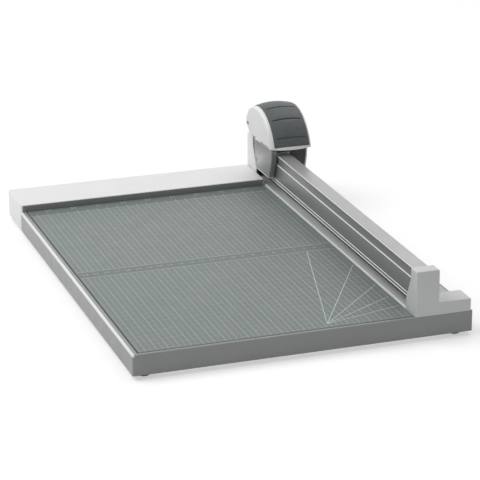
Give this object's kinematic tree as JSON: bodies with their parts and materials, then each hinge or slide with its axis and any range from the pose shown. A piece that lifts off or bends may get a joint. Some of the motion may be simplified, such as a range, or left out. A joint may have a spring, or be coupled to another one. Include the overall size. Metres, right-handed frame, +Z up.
{
  "type": "rotary paper trimmer",
  "caption": "Desk paper trimmer: flat base with a gridded mat and rear fence, sprung guide rail on posts, and a sliding press-down head with a round blade.",
  "frame": {"origin": "on the table, under the middle of the base", "axes": "+X to the right across the cut line, +Y to the rear along the guide rail, +Z up"},
  "size_m": [0.3054, 0.4422, 0.1038],
  "materials": {
    "tray_plastic": "moulded, fine texture",
    "zinc_plate": "pressed sheet",
    "mat_vinyl": "printed with a grid",
    "strip_plastic": "smooth",
    "panel_plastic": "smooth",
    "white_plastic": "semi gloss",
    "grey_plastic": "fine texture",
    "black_rubber": "matte",
    "zinc_screws": "plated",
    "spring_steel": "drawn wire",
    "pin_steel": "ground",
    "anodised_aluminium": "satin anodised extrusion",
    "black_plastic": "moulded",
    "glide_plastic": "slippery acetal",
    "grip_rubber": "soft touch",
    "frame_plastic": "glass filled nylon",
    "bush_metal": "sintered",
    "smoky_clear_plastic": "tinted, see-through",
    "clip_plastic": "smooth",
    "blade_steel": "ground and hardened"
  },
  "bodies": {
    "base": {"base_tray": "tray_plastic", "bottom_plate": "zinc_plate", "cutting_mat": "mat_vinyl", "cutting_strip": "strip_plastic", "deck_panel": "panel_plastic", "rear_fence": "white_plastic", "front_post": "grey_plastic", "rear_post": "white_plastic", "rubber_feet": "black_rubber", "foot_screws": "zinc_screws", "plate_screws": "zinc_screws", "post_screws": "zinc_screws", "fence_screws": "zinc_screws", "guide_pins": "pin_steel", "rail_springs": "spring_steel"},
    "rail": {"guide_rail": "anodised_aluminium", "rail_end_blocks": "black_plastic", "end_block_pins": "pin_steel", "clamp_strip": "black_rubber"},
    "carriage": {"carriage_block": "black_plastic", "glide_strip": "glide_plastic", "slot_sliders": "glide_plastic", "press_pins": "pin_steel", "press_springs": "spring_steel"},
    "head": {"left_cover": "white_plastic", "right_cover": "white_plastic", "grip_pad": "grip_rubber", "head_frame": "frame_plastic", "press_bushes": "bush_metal", "cover_screws": "zinc_screws", "blade_guard": "smoky_clear_plastic", "guard_clip": "clip_plastic", "blade_carrier": "blade_steel", "carrier_screws": "zinc_screws", "blade_axle": "pin_steel", "axle_washer": "pin_steel"},
    "blade": {"blade_disc": "blade_steel", "blade_hub": "black_plastic", "hub_rivets": "pin_steel"}
  },
  "joints": [
    {"name": "rail_drop", "type": "slide", "parent": "base", "child": "rail", "axis": [0, 0, -1], "range_m": [0, 0.004], "stiffness_N_per_m": 1500, "springref_m": -0.008, "deforming": ["rail_springs"]},
    {"name": "head_slide", "type": "slide", "parent": "rail", "child": "carriage", "axis": [0, -1, 0], "range_m": [-0.01, 0.33]},
    {"name": "head_press", "type": "slide", "parent": "carriage", "child": "head", "axis": [0, 0, -1], "range_m": [0, 0.0043], "stiffness_N_per_m": 1200, "springref_m": -0.006, "deforming": ["press_springs"]},
    {"name": "blade_spin", "type": "hinge", "parent": "head", "child": "blade", "pos_m": [0.10025, 0.16035, 0.0554], "axis": [1, 0, 0], "continuous": true}
  ],
  "couplings": [
    {"joint": "blade_spin", "follows": "head_slide", "rad_per_m": 44.444}
  ]
}
